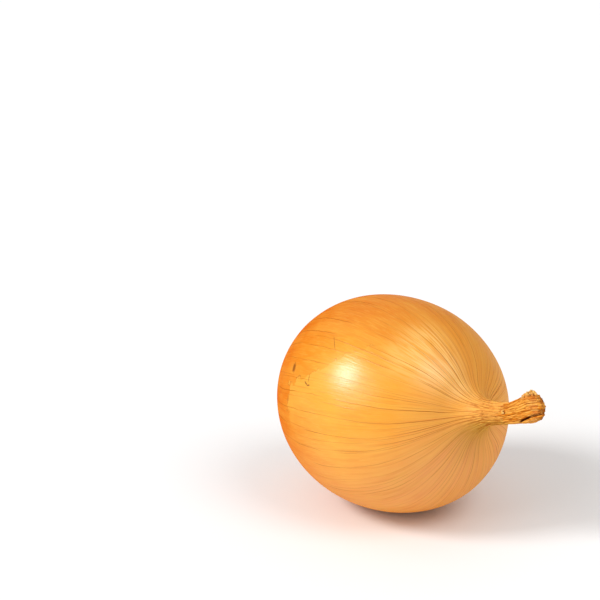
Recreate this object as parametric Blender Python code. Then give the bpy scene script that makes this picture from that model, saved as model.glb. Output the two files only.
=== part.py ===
"""A yellow storage onion lying on its side, in metres, with +Z up.

The bulb, the dried neck and the root plate with its rootlets grew as one piece, so they are one solid.
The onion's own axis runs from the root plate to the neck. It lies in the XZ plane, and the neck end
points towards +X and a little upwards. The origin is the middle of the small flat it rests on.

A point of the surface is given by its place along the axis, z, and its angle round it, theta. The
angle starts at the top of the onion and turns towards its near side, -Y.
"""
import math
import random

import bmesh
import bpy
import numpy as np
from mathutils import Vector

# The bulb, measured along and round the onion's axis from its widest section
BULB_RADIUS = 0.0396
ROOT_REACH = 0.0424
CROWN_REACH = 0.0438
FULLNESS = 2.07  # 2 is an ellipse, and more is fuller
OVALITY = 0.014
AXIS_TILT = math.radians(13.8)
REST_DEPTH = 0.0005

# The sections slide down towards the crown, and the neck comes back up to the axis
LEAN = 0.089
LEAN_END = 0.024

# The crown turns into the flare of the neck at this angle of the bulb's curve
SHOULDER = math.radians(70.0)
FLARE_OUT = 0.006
FLARE_IN = 0.0135

# The neck: a round throat that lifts and dries into a flat fan with an arched end
THROAT = 0.060
THROAT_RADIUS = 0.00345
THROAT_RISE = 0.0003
LIFT_START = 0.058
LIFT_END = 0.079
NECK_LIFT = 0.0036
FAN_START = 0.0749
FAN_LENGTH = 0.0044
FAN_HALF_HEIGHT = 0.00495
FAN_HALF_THICKNESS = 0.0017
FAN_EDGE = 0.93  # the share of the neck's length where its end starts to close

# The fan's ragged end line: height, and the two waves it is made of (weight, waves, start)
RAGGED_END = 0.0004
RAGGED_WAVES = ((0.6, 9.0, 0.8), (0.4, 23.0, 2.1))

# The outer skin ends in a low step round the neck, along a frayed line
SKIN_END = 0.0612
SKIN_STEP = 0.00025
SKIN_FRAY = 0.0016
FRAY_WAVES = ((0.6, 3.0, 0.7), (0.4, 7.0, 2.0))
STEP_FADE = 0.010

# A cleft along the fan's near face, and the swelling of the leaf that is rolled below it
CLEFT_START = 0.069
CLEFT_LOW = -0.0037
CLEFT_HIGH = -0.0019
CLEFT_DEPTH = 0.0011
CLEFT_WIDTH = 0.00045
CLEFT_FADE = 6.0
SWELL_HEIGHT = 0.00044
SWELL_BELOW = 2.4

# Ribs of the dried leaves, strongest on the neck
RIBS = 20
RIB_HEIGHT = 0.00032
RIB_STRENGTHS = (0.6, 1.4)
RIB_START = 0.022
RIB_FULL = 0.056

# The root plate, as rings of radius and place along the axis
PLATE_RADIUS = 0.0080
PLATE_RINGS = ((0.0038, -0.0430), (0.0064, -0.0422), (0.0074, -0.0412))
PLATE_END = -0.0432

# The rootlets stand in a spiral over the plate and splay outwards
ROOTLETS = 24
ROOTLET_SIDES = 5
ROOTLET_STEPS = 3
ROOTLET_RADIUS = 0.00060
ROOTLET_TIP = 0.00035
ROOTLET_LENGTH = (0.0045, 0.0095)
ROOTLET_SUNK = 0.0016
ROOTLET_SPREAD = 0.86  # share of the plate's radius that they cover
ROOTLET_SPLAY = (0.25, 0.90)  # outward slope at the plate's middle, and how much it grows to the rim
ROOTLET_BEND = (0.05, 0.17)
ROOTLET_STRAY = 0.7
PLATE_CROWN = 0.0012  # how far the plate's rim lies behind its middle
GOLDEN_ANGLE = math.pi * (3 - math.sqrt(5))

# Torn scraps of papery skin at the neck: place along the axis, angle round it, length, width, curl
SCRAPS = (
    (0.0722, 6.0, 0.0046, 0.0028, 0.9),
    (0.0645, 240.0, 0.0058, 0.0034, 0.7),
    (0.0610, 285.0, 0.0050, 0.0028, 1.1),
)
SCRAP_THICKNESS = 0.0007
SCRAP_SUNK = 0.0011
SCRAP_BEHIND = 0.4  # share of its length that lies rootward of its place
SCRAP_TAPER = 0.55
SCRAP_SLOPE = 0.35
SCRAP_STEPS = 4

# The grid of the solid
COLUMNS = 80
BULB_ROWS = 22
FLARE_ROWS = 7
NECK_ROWS = 9
EDGE_ROWS = (0.55, 0.85)
SNAP = 0.00015

SKIN_COLOUR = (0.76, 0.36, 0.08, 1.0)
SKIN_ROUGHNESS = 0.35

AXIS = np.array((math.cos(AXIS_TILT), 0.0, math.sin(AXIS_TILT)))
RISE = np.array((-math.sin(AXIS_TILT), 0.0, math.cos(AXIS_TILT)))
SIDE = np.array((0.0, -1.0, 0.0))


def smooth(value):
    """Ease from 0 to 1 while the value goes from 0 to 1."""
    t = np.clip(value, 0.0, 1.0)
    return t * t * (3.0 - 2.0 * t)


def waves(angle, parts):
    """A sum of sine waves, each with its weight, number of waves and start."""
    return sum(weight * np.sin(count * angle + start) for weight, count, start in parts)


def centre_rise(z):
    """How far the middle of the section at z lies above the straight axis."""
    z = np.asarray(z, dtype=float)
    span = THROAT - LEAN_END
    t = np.clip((z - LEAN_END) / span, 0.0, 1.0)
    start = -LEAN * LEAN_END
    slope = -LEAN * span
    back = start * (2 * t**3 - 3 * t**2 + 1) + slope * (t**3 - 2 * t**2 + t) + THROAT_RISE * smooth(t)
    lift = NECK_LIFT * smooth((z - LIFT_START) / (LIFT_END - LIFT_START))
    return np.where(z < LEAN_END, -LEAN * z, back + lift)


def bulb_curve(angle):
    """Place along the axis and radius of the bulb at an angle from its widest section."""
    power = 2.0 / FULLNESS
    reach = ROOT_REACH if angle < 0 else CROWN_REACH
    z = reach * math.copysign(abs(math.sin(angle)) ** power, angle)
    return z, BULB_RADIUS * math.cos(angle) ** power


def flare_curve(count):
    """Stations of the curve that leads from the shoulder into the neck."""
    end = np.array(bulb_curve(SHOULDER))
    run = end - np.array(bulb_curve(SHOULDER - math.radians(0.5)))
    run /= np.linalg.norm(run)
    throat = np.array((THROAT, THROAT_RADIUS))
    points = (end, end + run * FLARE_OUT, throat - np.array((FLARE_IN, 0.0)), throat)
    stations = []
    for k in range(1, count + 1):
        t = k / count
        weights = ((1 - t) ** 3, 3 * (1 - t) ** 2 * t, 3 * (1 - t) * t * t, t**3)
        stations.append(sum(w * p for w, p in zip(weights, points)))
    return stations


def rib_offset(theta, z, strengths):
    """Height of the ribs above the plain surface."""
    fade = smooth((z - RIB_START) / (RIB_FULL - RIB_START))
    turn = theta / (2 * math.pi) * RIBS
    strength = strengths[np.floor(turn + 0.5).astype(int) % RIBS]
    return RIB_HEIGHT * fade * strength * np.cos(2 * math.pi * turn)


def skin_step(theta, z):
    """The outer skin stands a step above the neck and ends in a frayed line."""
    edge = SKIN_END + SKIN_FRAY * waves(theta, FRAY_WAVES)
    ends = 1.0 - smooth((z - edge) / SKIN_STEP + 0.5)
    return SKIN_STEP * ends * smooth((z - CROWN_REACH) / STEP_FADE)


def fan_end(theta):
    """The neck's last place along the axis, an arch with a ragged line."""
    return FAN_START + FAN_LENGTH * np.abs(np.sin(theta)) + RAGGED_END * waves(np.cos(theta), RAGGED_WAVES)


def cleft(rise, z, side):
    """How deep the cleft cuts the fan's near face, and how far the rolled leaf swells below it."""
    t = np.clip((z - CLEFT_START) / (FAN_START + FAN_LENGTH - CLEFT_START), 0.0, 1.0)
    line = CLEFT_LOW + (CLEFT_HIGH - CLEFT_LOW) * t
    away = (rise - line) / CLEFT_WIDTH
    near = smooth(t * CLEFT_FADE) * (side > 0)
    cut = CLEFT_DEPTH * np.exp(-away * away)
    swell = SWELL_HEIGHT * np.exp(-((away + SWELL_BELOW) ** 2) / 2.0)
    return near * (swell - cut)


def ring(theta, z, radius, strengths):
    """One round section of the bulb or the flare."""
    oval = 1.0 - OVALITY * np.cos(2 * theta) * (1.0 - smooth(z / THROAT))
    r = radius * oval + rib_offset(theta, z, strengths) + skin_step(theta, z)
    rise = r * np.cos(theta) + centre_rise(z)
    side = r * np.sin(theta)
    return rise[:, None] * RISE + side[:, None] * SIDE + z[:, None] * AXIS


def neck_ring(theta, share, round_off, strengths):
    """One section of the neck, at a share of the way from the throat to its arched end."""
    z = THROAT + share * (fan_end(theta) - THROAT)
    widen = smooth((z - THROAT) / (FAN_START - THROAT))
    tall = THROAT_RADIUS + (FAN_HALF_HEIGHT - THROAT_RADIUS) * widen
    thick = THROAT_RADIUS + (FAN_HALF_THICKNESS - THROAT_RADIUS) * smooth(share)
    extra = (rib_offset(theta, z, strengths) + skin_step(theta, z)) * round_off
    rise = (tall + extra) * np.cos(theta)
    side = (thick + extra) * np.sin(theta)
    side = (side + cleft(rise, z, side)) * round_off
    rise = rise + centre_rise(z)
    return rise[:, None] * RISE + side[:, None] * SIDE + z[:, None] * AXIS


def onion_rows():
    """Rings of points from the root plate to the neck's end, and the line where that end closes."""
    strengths = np.random.default_rng(5).uniform(*RIB_STRENGTHS, RIBS)
    theta = np.arange(COLUMNS) * 2 * math.pi / COLUMNS
    first = -math.acos((PLATE_RADIUS / BULB_RADIUS) ** (FULLNESS / 2))
    stations = [(z, radius) for radius, z in PLATE_RINGS]
    for k in range(BULB_ROWS + 1):
        stations.append(bulb_curve(first + (SHOULDER - first) * k / BULB_ROWS))
    stations.extend(flare_curve(FLARE_ROWS))
    rows = [ring(theta, np.full(COLUMNS, z), radius, strengths) for z, radius in stations]
    for k in range(1, NECK_ROWS + 1):
        rows.append(neck_ring(theta, FAN_EDGE * k / NECK_ROWS, 1.0, strengths))
    for t in EDGE_ROWS:
        share = FAN_EDGE + (1.0 - FAN_EDGE) * t
        rows.append(neck_ring(theta, share, math.sqrt(1.0 - t * t), strengths))
    return rows, neck_ring(theta, 1.0, 0.0, strengths)


def rest_shift(rows):
    """The move that puts the bulb's lowest place on the origin, just far enough down for the flat."""
    points = np.concatenate(rows)
    lowest = points[:, 2].min()
    weights = np.exp((lowest - points[:, 2]) / (2 * REST_DEPTH))
    middle = (points[:, 0] * weights).sum() / weights.sum()
    return np.array((-middle, 0.0, -lowest - REST_DEPTH))


def skin_mesh():
    """The closed surface of bulb, neck and root plate, with its resting flat."""
    rows, seam = onion_rows()
    shift = rest_shift(rows)
    mesh = bmesh.new()
    grid = [[mesh.verts.new(point) for point in row + shift] for row in rows]
    line = [mesh.verts.new(point) for point in seam[: COLUMNS // 2 + 1] + shift]
    grid.append([line[min(i, COLUMNS - i)] for i in range(COLUMNS)])
    for lower, upper in zip(grid, grid[1:]):
        for i in range(COLUMNS):
            j = (i + 1) % COLUMNS
            mesh.faces.new((lower[i], lower[j], upper[j], upper[i]))
    root = mesh.verts.new(PLATE_END * AXIS + centre_rise(PLATE_END) * RISE + shift)
    for i in range(COLUMNS):
        mesh.faces.new((root, grid[0][(i + 1) % COLUMNS], grid[0][i]))
    cut_flat(mesh)
    bmesh.ops.triangulate(mesh, faces=mesh.faces[:])
    bmesh.ops.recalc_face_normals(mesh, faces=mesh.faces[:])
    return mesh, shift


def cut_flat(mesh):
    """Cut away what lies below the ground and close the hole with one flat face."""
    for vert in mesh.verts:
        if abs(vert.co.z) < SNAP:
            vert.co.z = 0.0
    everything = mesh.verts[:] + mesh.edges[:] + mesh.faces[:]
    bmesh.ops.bisect_plane(
        mesh, geom=everything, dist=1e-6, plane_co=(0, 0, 0), plane_no=(0, 0, 1), clear_inner=True)
    bmesh.ops.holes_fill(mesh, edges=[edge for edge in mesh.edges if edge.is_boundary], sides=0)


def loft(rings):
    """A closed solid through rings of corners, each ring with the same number of them."""
    mesh = bmesh.new()
    made = [[mesh.verts.new(corner) for corner in corners] for corners in rings]
    count = len(made[0])
    for lower, upper in zip(made, made[1:]):
        for i in range(count):
            j = (i + 1) % count
            mesh.faces.new((lower[i], lower[j], upper[j], upper[i]))
    mesh.faces.new(list(reversed(made[0])))
    mesh.faces.new(made[-1])
    bmesh.ops.triangulate(mesh, faces=mesh.faces[:])
    bmesh.ops.recalc_face_normals(mesh, faces=mesh.faces[:])
    return mesh


def outward(theta):
    """The direction away from the onion's axis at an angle round it."""
    return math.cos(theta) * Vector(RISE) + math.sin(theta) * Vector(SIDE)


def on_axis(z, shift):
    """The middle of the onion's section at z."""
    return Vector(AXIS) * z + Vector(RISE) * float(centre_rise(z)) + Vector(shift)


def rootlet(index, shift, draw):
    """One dried rootlet, which bends away from the root plate's middle."""
    share = ROOTLET_SPREAD * math.sqrt((index + 0.7) / ROOTLETS)
    away = outward(index * GOLDEN_ANGLE + draw.uniform(-0.2, 0.2))
    start = on_axis(PLATE_END + PLATE_CROWN * share**2, shift) + away * (share * PLATE_RADIUS)
    splay = ROOTLET_SPLAY[0] + ROOTLET_SPLAY[1] * share
    run = (away * splay - Vector(AXIS)).normalized()
    stray = Vector([draw.uniform(-1, 1) for _ in range(3)]).normalized()
    bend = (away + ROOTLET_STRAY * stray) * draw.uniform(*ROOTLET_BEND)
    length = draw.uniform(*ROOTLET_LENGTH)
    path = [start - run * ROOTLET_SUNK]
    for k in range(1, ROOTLET_STEPS + 1):
        t = k / ROOTLET_STEPS
        path.append(start + (run * t + bend * t * t) * length)
    across = run.orthogonal().normalized()
    other = run.cross(across)
    rings = []
    for k, point in enumerate(path):
        radius = ROOTLET_RADIUS + (ROOTLET_TIP - ROOTLET_RADIUS) * k / ROOTLET_STEPS
        corners = []
        for side in range(ROOTLET_SIDES):
            angle = 2 * math.pi * side / ROOTLET_SIDES
            corners.append(point + (across * math.cos(angle) + other * math.sin(angle)) * radius)
        rings.append(corners)
    return loft(rings)


def scrap(place, angle, length, width, curl, shift):
    """A torn scrap of skin that lifts off the neck and curls outwards."""
    away = outward(math.radians(angle))
    across = Vector(AXIS).cross(away)
    height = THROAT_RADIUS - SCRAP_SUNK
    along = -SCRAP_BEHIND * length
    rings = []
    for k in range(SCRAP_STEPS + 1):
        t = k / SCRAP_STEPS
        lift = curl * t
        middle = on_axis(place, shift) + Vector(AXIS) * along + away * height
        top = (away * math.cos(lift) - Vector(AXIS) * math.sin(lift)) * SCRAP_THICKNESS
        half = across * (0.5 * width * (1.0 - SCRAP_TAPER * t * t))
        rings.append((middle - half, middle + half, middle + half + top, middle - half + top))
        along += math.cos(lift) * length / SCRAP_STEPS
        height += (math.sin(lift) + SCRAP_SLOPE) * length / SCRAP_STEPS
    return loft(rings)


def add_object(name, mesh, collection):
    """Put a mesh into the file as an object."""
    data = bpy.data.meshes.new(name)
    mesh.to_mesh(data)
    mesh.free()
    made = bpy.data.objects.new(name, data)
    collection.objects.link(made)
    return made


def fuse(target, collection):
    """Join everything in the collection to the target as one solid."""
    union = target.modifiers.new("Join", "BOOLEAN")
    union.operation = "UNION"
    union.operand_type = "COLLECTION"
    union.collection = collection
    union.solver = "MANIFOLD"
    bpy.context.view_layer.objects.active = target
    bpy.ops.object.modifier_apply(modifier=union.name)
    for piece in list(collection.objects):
        bpy.data.objects.remove(piece, do_unlink=True)
    bpy.data.collections.remove(collection)


def skin_material():
    """Glossy papery skin."""
    material = bpy.data.materials.new("dry_skin")
    material.use_nodes = True
    shader = material.node_tree.nodes["Principled BSDF"]
    shader.inputs["Base Color"].default_value = SKIN_COLOUR
    shader.inputs["Roughness"].default_value = SKIN_ROUGHNESS
    shader.inputs["Metallic"].default_value = 0.0
    return material


def main():
    """Make the onion."""
    for old in list(bpy.data.objects):
        bpy.data.objects.remove(old, do_unlink=True)
    mesh, shift = skin_mesh()
    onion = add_object("onion", mesh, bpy.context.scene.collection)
    growths = bpy.data.collections.new("growths")
    bpy.context.scene.collection.children.link(growths)
    draw = random.Random(11)
    for index in range(ROOTLETS):
        add_object("rootlet", rootlet(index, shift, draw), growths)
    for values in SCRAPS:
        add_object("scrap", scrap(*values, shift), growths)
    fuse(onion, growths)
    onion.data.materials.clear()
    onion.data.materials.append(skin_material())
    onion.data.shade_smooth()


main()
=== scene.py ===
"""The looks of a yellow storage onion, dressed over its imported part. Metres, with +Z up.

The skin is the part's own surface on a fine grid. A place on it is given as in the part: z along the
onion's axis from the bulb's widest section, and theta round it from the top towards the near side.
"""

import math
import random

import bmesh
import bpy
import numpy as np
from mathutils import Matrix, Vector


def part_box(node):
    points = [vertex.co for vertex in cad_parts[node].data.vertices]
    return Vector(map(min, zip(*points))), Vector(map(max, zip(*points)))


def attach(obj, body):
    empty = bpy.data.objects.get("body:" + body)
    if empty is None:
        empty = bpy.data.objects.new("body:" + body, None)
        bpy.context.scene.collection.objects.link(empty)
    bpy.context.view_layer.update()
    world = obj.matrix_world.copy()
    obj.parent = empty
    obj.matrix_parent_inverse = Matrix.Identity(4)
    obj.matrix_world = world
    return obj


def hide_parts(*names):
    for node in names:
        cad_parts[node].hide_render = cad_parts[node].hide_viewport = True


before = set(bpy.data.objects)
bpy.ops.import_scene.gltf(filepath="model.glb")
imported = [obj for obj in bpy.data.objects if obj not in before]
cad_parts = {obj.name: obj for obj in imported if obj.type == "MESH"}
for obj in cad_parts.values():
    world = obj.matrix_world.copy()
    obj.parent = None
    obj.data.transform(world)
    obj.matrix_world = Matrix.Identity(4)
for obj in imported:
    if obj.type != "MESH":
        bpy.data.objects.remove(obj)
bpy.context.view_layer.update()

MM = 0.001
FULL_TURN = 2 * math.pi

# The view: where the camera stands, and where the bulb's middle falls in the frame
VIEW_AZIMUTH = math.radians(50.71)
VIEW_ELEVATION = math.radians(20.0)
VIEW_DISTANCE = 0.8
FRAME_PIXELS = 600
BULB_PIXEL = (391.8, 402.5)
PIXEL_SIZE = 0.000364
SENSOR_WIDTH = 36.0

# The bulb, as in the part
BULB_RADIUS = 0.0396
ROOT_REACH = 0.0424
CROWN_REACH = 0.0438
FULLNESS = 2.07
OVALITY = 0.014
AXIS_TILT = math.radians(13.8)
LEAN = 0.089
LEAN_END = 0.024
SHOULDER = math.radians(70.0)
SHOULDER_PROBE = math.radians(0.5)
FLARE_OUT = 0.006
FLARE_IN = 0.0135

# The neck and its flat fan, as in the part
THROAT = 0.060
THROAT_RADIUS = 0.00345
THROAT_RISE = 0.0003
LIFT_START = 0.058
LIFT_END = 0.079
NECK_LIFT = 0.0036
FAN_START = 0.0749
FAN_LENGTH = 0.0044
FAN_HALF_HEIGHT = 0.00495
FAN_HALF_THICKNESS = 0.0017
FAN_EDGE = 0.93
RAGGED_END = 0.0004
RAGGED_WAVES = ((0.6, 9.0, 0.8), (0.4, 23.0, 2.1))

# The end of the outer skin, the cleft and the ribs, as in the part
SKIN_END = 0.0612
SKIN_STEP = 0.00025
SKIN_FRAY = 0.0016
FRAY_WAVES = ((0.6, 3.0, 0.7), (0.4, 7.0, 2.0))
STEP_FADE = 0.010
CLEFT_START = 0.0672
CLEFT_LOW = -0.0037
CLEFT_HIGH = -0.0019
CLEFT_DEPTH = 0.0012
CLEFT_WIDTH = 0.00042
CLEFT_FADE = 6.0
SWELL_HEIGHT = 0.00044
SWELL_BELOW = 2.4
RIBS = 20
RIB_HEIGHT = 0.00012
RIB_STRENGTHS = np.random.default_rng(5).uniform(0.6, 1.4, RIBS)
RIB_START = 0.044
RIB_FULL = 0.062

# The root plate, as in the part
PLATE_RADIUS = 0.0080
PLATE_RINGS = ((0.0038, -0.0430), (0.0064, -0.0422), (0.0074, -0.0412))
PLATE_END = -0.0432
PLATE_CROWN = 0.0012
GOLDEN_ANGLE = math.pi * (3 - math.sqrt(5))

# The fine grid of the skin
COLUMNS = 360
BULB_ROWS = 130
FLARE_ROWS = 50
NECK_ROWS = 60
EDGE_ROWS = 8
WELD_DISTANCE = 1e-6

# Fine fibres of the dried neck, and the soft swells of the bulb
FIBRES = 34
FIBRE_HEIGHT = 0.00019
FIBRE_START = 0.042
FIBRE_FULL = 0.059
FIBRE_DRIFT = 0.9
FIBRE_LEVEL = 0.6  # height on a fibre that is level with the skin
FIBRE_STRENGTHS = np.random.default_rng(6).uniform(0.5, 1.3, FIBRES)
FIBRE_TONES = np.random.default_rng(9).random(FIBRES)
FRAY_FINE = 0.0009
SWELL_RISE = 0.00003

# Stretched noise: rows of cells, and for each use the cells round the onion, their length and a seed
NOISE_ROWS = 16
FRAY_NOISE = (FIBRES, 0.02, 8)
DRIFT_NOISE = (9, 0.007, 3)
SWELL_NOISE = (26, 0.030, 4)

AXIS = np.array((math.cos(AXIS_TILT), 0.0, math.sin(AXIS_TILT)))
RISE = np.array((-math.sin(AXIS_TILT), 0.0, math.cos(AXIS_TILT)))
SIDE = np.array((0.0, -1.0, 0.0))


def smooth(value):
    """Ease from 0 to 1 while the value goes from 0 to 1."""
    t = np.clip(value, 0.0, 1.0)
    return t * t * (3.0 - 2.0 * t)


def waves(angle, parts):
    """A sum of sine waves, each with its weight, number of waves and start."""
    return sum(weight * np.sin(count * angle + start) for weight, count, start in parts)


def stretched_noise(theta, z, count, length, seed):
    """Noise from -1 to 1 in long cells: count of them round the onion, each as long as given."""
    grid = np.random.default_rng(seed).uniform(-1.0, 1.0, (NOISE_ROWS, count))
    turn = np.mod(theta / FULL_TURN, 1.0) * count
    place = z / length + NOISE_ROWS / 2
    column = np.floor(turn).astype(int)
    row = np.floor(place).astype(int)
    across = smooth(turn - column)
    along = smooth(place - row)

    def in_row(number):
        left = grid[number % NOISE_ROWS, column % count]
        right = grid[number % NOISE_ROWS, (column + 1) % count]
        return left * (1 - across) + right * across

    return in_row(row) * (1 - along) + in_row(row + 1) * along


def centre_rise(z):
    """How far the middle of the section at z lies above the straight axis."""
    z = np.asarray(z, dtype=float)
    span = THROAT - LEAN_END
    t = np.clip((z - LEAN_END) / span, 0.0, 1.0)
    start = -LEAN * LEAN_END
    slope = -LEAN * span
    back = start * (2 * t**3 - 3 * t**2 + 1) + slope * (t**3 - 2 * t**2 + t) + THROAT_RISE * smooth(t)
    lift = NECK_LIFT * smooth((z - LIFT_START) / (LIFT_END - LIFT_START))
    return np.where(z < LEAN_END, -LEAN * z, back + lift)


def bulb_curve(angle):
    """Place along the axis and radius of the bulb at an angle from its widest section."""
    power = 2.0 / FULLNESS
    reach = ROOT_REACH if angle < 0 else CROWN_REACH
    z = reach * math.copysign(abs(math.sin(angle)) ** power, angle)
    return z, BULB_RADIUS * math.cos(angle) ** power


def flare_curve(count):
    """Stations of the curve that leads from the shoulder into the neck."""
    end = np.array(bulb_curve(SHOULDER))
    run = end - np.array(bulb_curve(SHOULDER - SHOULDER_PROBE))
    run /= np.linalg.norm(run)
    throat = np.array((THROAT, THROAT_RADIUS))
    points = (end, end + run * FLARE_OUT, throat - np.array((FLARE_IN, 0.0)), throat)
    stations = []
    for k in range(1, count + 1):
        t = k / count
        weights = ((1 - t) ** 3, 3 * (1 - t) ** 2 * t, 3 * (1 - t) * t * t, t**3)
        stations.append(sum(w * p for w, p in zip(weights, points)))
    return stations


def rib_offset(theta, z):
    """Height of the ribs above the plain surface."""
    fade = smooth((z - RIB_START) / (RIB_FULL - RIB_START))
    turn = theta / FULL_TURN * RIBS
    strength = RIB_STRENGTHS[np.floor(turn + 0.5).astype(int) % RIBS]
    return RIB_HEIGHT * fade * strength * np.cos(FULL_TURN * turn)


def skin_left(theta, z):
    """1 where the outer skin still covers the neck, and 0 beyond its frayed end."""
    edge = SKIN_END + SKIN_FRAY * waves(theta, FRAY_WAVES)
    edge = edge + FRAY_FINE * stretched_noise(theta, z, *FRAY_NOISE)
    return 1.0 - smooth((z - edge) / SKIN_STEP + 0.5)


def skin_step(theta, z):
    """The outer skin stands a step above the neck and ends in a frayed line."""
    return SKIN_STEP * skin_left(theta, z) * smooth((z - CROWN_REACH) / STEP_FADE)


def fan_end(theta):
    """The neck's last place along the axis, an arch with a ragged line."""
    return FAN_START + FAN_LENGTH * np.abs(np.sin(theta)) + RAGGED_END * waves(np.cos(theta), RAGGED_WAVES)


def cleft(rise, z, side):
    """How far the rolled leaf below the cleft swells out, and how open the cleft is, from 0 to 1."""
    t = np.clip((z - CLEFT_START) / (FAN_START + FAN_LENGTH - CLEFT_START), 0.0, 1.0)
    line = CLEFT_LOW + (CLEFT_HIGH - CLEFT_LOW) * t
    away = (rise - line) / CLEFT_WIDTH
    near = smooth(t * CLEFT_FADE) * (side > 0)
    swell = near * SWELL_HEIGHT * np.exp(-((away + SWELL_BELOW) ** 2) / 2.0)
    return swell, near * np.exp(-away * away)


def fibre_place(theta, z):
    """Which fibre of the dried neck a place is on, and how high on it, from 0 in the groove to 1."""
    turn = theta / FULL_TURN * FIBRES + FIBRE_DRIFT * stretched_noise(theta, z, *DRIFT_NOISE)
    cell = np.floor(turn)
    height = 1.0 - (2.0 * (turn - cell) - 1.0) ** 2
    return cell.astype(int) % FIBRES, height


def fine_relief(theta, z):
    """Relief that is too fine for the part: the neck's fibres and the bulb's soft swells."""
    cell, height = fibre_place(theta, z)
    fibres = FIBRE_HEIGHT * smooth((z - FIBRE_START) / (FIBRE_FULL - FIBRE_START))
    swells = SWELL_RISE * stretched_noise(theta, z, *SWELL_NOISE)
    return fibres * (height * FIBRE_STRENGTHS[cell] - FIBRE_LEVEL) + swells


def relief(theta, z):
    """Height of all relief above the plain surface."""
    return rib_offset(theta, z) + skin_step(theta, z) + fine_relief(theta, z)


def placed(rise, side, z):
    """Points in the part's frame, from their places above, beside and along the onion's axis."""
    return rise[:, None] * RISE + side[:, None] * SIDE + z[:, None] * AXIS


def ring(theta, z, radius):
    """One round section of the bulb or the flare."""
    oval = 1.0 - OVALITY * np.cos(2 * theta) * (1.0 - smooth(z / THROAT))
    r = radius * oval + relief(theta, z)
    return placed(r * np.cos(theta) + centre_rise(z), r * np.sin(theta), z)


def neck_ring(theta, share, round_off):
    """One section of the neck, at a share of the way from the throat to its arched end."""
    z = THROAT + share * (fan_end(theta) - THROAT)
    widen = smooth((z - THROAT) / (FAN_START - THROAT))
    tall = THROAT_RADIUS + (FAN_HALF_HEIGHT - THROAT_RADIUS) * widen
    thick = THROAT_RADIUS + (FAN_HALF_THICKNESS - THROAT_RADIUS) * smooth(share)
    extra = relief(theta, z) * round_off
    rise = (tall + extra) * np.cos(theta)
    side = (thick + extra) * np.sin(theta)
    swell, gap = cleft(rise, z, side)
    side = (side + swell - CLEFT_DEPTH * gap) * round_off
    return placed(rise + centre_rise(z), side, z), gap


def skin_rows():
    """Rows of the skin from root plate to neck's end: place z, girth, cleft and points of each."""
    theta = np.arange(COLUMNS) * FULL_TURN / COLUMNS
    first = -math.acos((PLATE_RADIUS / BULB_RADIUS) ** (FULLNESS / 2))
    stations = [(z, radius) for radius, z in PLATE_RINGS]
    for k in range(BULB_ROWS + 1):
        stations.append(bulb_curve(first + (SHOULDER - first) * k / BULB_ROWS))
    stations.extend(flare_curve(FLARE_ROWS))
    rows = []
    for z, radius in stations:
        place = np.full(COLUMNS, z)
        rows.append((place, np.full(COLUMNS, radius), np.zeros(COLUMNS), ring(theta, place, radius)))
    neck = [(FAN_EDGE * k / NECK_ROWS, 1.0) for k in range(1, NECK_ROWS + 1)]
    for k in range(1, EDGE_ROWS + 1):
        t = k / EDGE_ROWS
        neck.append((FAN_EDGE + (1.0 - FAN_EDGE) * t, math.sqrt(1.0 - t * t)))
    for share, round_off in neck:
        place = THROAT + share * (fan_end(theta) - THROAT)
        points, gap = neck_ring(theta, share, round_off)
        rows.append((place, np.full(COLUMNS, THROAT_RADIUS), gap, points))
    return theta, rows


def place_in_part(points):
    """The move that sets the skin's highest corner on that of the part's node."""
    high = np.array(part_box("onion")[1])
    move = high - points.max(axis=0)
    return np.array((move[0], 0.0, move[2]))


def set_attribute(mesh, name, kind, values):
    """Store values at the mesh's points, for its material to read."""
    layer = mesh.attributes.new(name, kind, "POINT")
    field = "vector" if kind == "FLOAT_VECTOR" else "value"
    layer.data.foreach_set(field, np.asarray(values, dtype=np.float32).ravel())


def close_mesh(mesh, weld_distance=0.0):
    """Join the points closer than the distance given, and turn all faces outwards."""
    work = bmesh.new()
    work.from_mesh(mesh)
    if weld_distance:
        bmesh.ops.remove_doubles(work, verts=work.verts[:], dist=weld_distance)
    bmesh.ops.recalc_face_normals(work, faces=work.faces[:])
    work.to_mesh(mesh)
    work.free()
    mesh.shade_smooth()


def add_object(name, data):
    """An object of the data given, in the scene."""
    made = bpy.data.objects.new(name, data)
    bpy.context.scene.collection.objects.link(made)
    return made


def make_skin():
    """The onion's skin from root plate to fan, with its resting flat pressed in."""
    theta, rows = skin_rows()
    z, girth, gap, points = (np.concatenate(part) for part in zip(*rows))
    angle = np.tile(theta, len(rows))
    shift = place_in_part(points)
    points = points + shift
    points[:, 2] = np.maximum(points[:, 2], 0.0)
    root = PLATE_END * AXIS + float(centre_rise(PLATE_END)) * RISE + shift
    faces = []
    for row in range(len(rows) - 1):
        low = row * COLUMNS
        high = low + COLUMNS
        for i in range(COLUMNS):
            j = (i + 1) % COLUMNS
            faces.append((low + j, low + i, high + i, high + j))
    middle = len(points)
    for i in range(COLUMNS):
        faces.append((middle, i, (i + 1) % COLUMNS))
    mesh = bpy.data.meshes.new("onion_skin")
    mesh.from_pydata(points.tolist() + [root.tolist()], [], faces)
    z = np.append(z, PLATE_END)
    angle = np.append(angle, 0.0)
    girth = np.append(girth, 0.0)
    cell, height = fibre_place(angle, z)
    set_attribute(mesh, "place", "FLOAT_VECTOR", np.column_stack((np.cos(angle), np.sin(angle), z / MM)))
    set_attribute(mesh, "girth", "FLOAT", girth / MM)
    set_attribute(mesh, "bare", "FLOAT", 1.0 - skin_left(angle, z))
    set_attribute(mesh, "groove", "FLOAT", 1.0 - height)
    set_attribute(mesh, "tone", "FLOAT", FIBRE_TONES[cell])
    set_attribute(mesh, "cleft", "FLOAT", np.append(gap, 0.0))
    close_mesh(mesh, WELD_DISTANCE)
    return add_object("onion_skin", mesh), shift


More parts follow.
